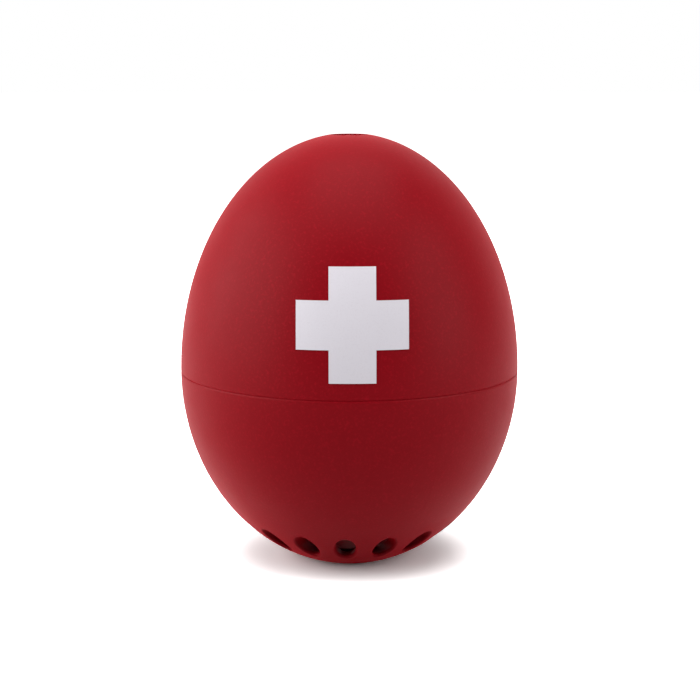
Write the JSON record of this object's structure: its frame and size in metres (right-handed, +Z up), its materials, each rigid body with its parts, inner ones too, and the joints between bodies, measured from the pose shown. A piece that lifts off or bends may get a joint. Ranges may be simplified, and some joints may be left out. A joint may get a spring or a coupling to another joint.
{
  "type": "singing egg timer",
  "caption": "Two-part plastic egg on a small flat foot, with a printed cross, a ring of water holes and a sealed, battery-powered timing capsule inside.",
  "frame": {"origin": "centre of the flat foot, on the surface that it stands on", "axes": "+Z up the egg's axis, -Y the front with the printed cross, +X to the right of the front"},
  "size_m": [0.0474, 0.0475, 0.0598],
  "materials": {
    "red_soft_plastic": "soft-touch matte, fine mould grain",
    "white_ink": "pad-printed, slightly dry",
    "capsule_plastic": "natural, lightly textured",
    "silicone": "soft, translucent grey",
    "stainless_screw": "bright rolled thread",
    "board_green": "solder resist over glass fibre",
    "black_epoxy": "poured and cured",
    "ferrite": "pressed and fired",
    "copper_wire": "enamelled",
    "tinned_metal": "tin-bright",
    "solder": "satin",
    "chip_black": "glazed top",
    "chip_tan": "matte",
    "transistor_black": "moulded",
    "cell_steel": "nickel-plated, drawn",
    "cell_ring": "nylon",
    "manganese_pellet": "pressed powder",
    "lithium": "rolled foil",
    "spring_steel": "nickel-plated strip",
    "sounder_brass": "lapped",
    "sounder_ceramic": "silvered",
    "lead_red": "extruded insulation",
    "lead_black": "extruded insulation",
    "bead_epoxy": "dipped",
    "potting": "filled paste, set"
  },
  "bodies": {
    "lower_shell": {"lower_shell": "red_soft_plastic"},
    "capsule": {"capsule_body": "capsule_plastic", "capsule_gasket": "silicone", "board_screws": "stainless_screw", "circuit_board": "board_green", "timer_chip": "black_epoxy", "quartz_crystal": "tinned_metal", "coil_core": "ferrite", "coil_winding": "copper_wire", "drive_transistor": "transistor_black", "transistor_legs": "tinned_metal", "chip_resistors": "chip_black", "chip_capacitors": "chip_tan", "chip_terminals": "tinned_metal", "coin_cell_can": "cell_steel", "coin_cell_cap": "cell_steel", "coin_cell_gasket": "cell_ring", "coin_cell_cathode": "manganese_pellet", "coin_cell_anode": "lithium", "battery_contact": "spring_steel", "battery_strap": "spring_steel", "piezo_plate": "sounder_brass", "piezo_ceramic": "sounder_ceramic", "piezo_lead_red": "lead_red", "piezo_lead_black": "lead_black", "thermistor_bead": "bead_epoxy", "thermistor_legs": "tinned_metal", "sensor_potting": "potting", "solder_joints": "solder"},
    "capsule_lid": {"capsule_lid": "capsule_plastic", "capsule_screws": "stainless_screw"},
    "upper_shell": {"upper_shell": "red_soft_plastic", "cross_print": "white_ink"}
  },
  "joints": [
    {"name": "capsule_lift", "type": "slide", "parent": "lower_shell", "child": "capsule", "axis": [0, 0, 1], "range_m": [0, 0.024]},
    {"name": "lid_lift", "type": "slide", "parent": "capsule", "child": "capsule_lid", "axis": [0, 0, 1], "range_m": [0, 0.014]},
    {"name": "shell_lift", "type": "slide", "parent": "capsule_lid", "child": "upper_shell", "axis": [0, 0, 1], "range_m": [0, 0.026]}
  ]
}
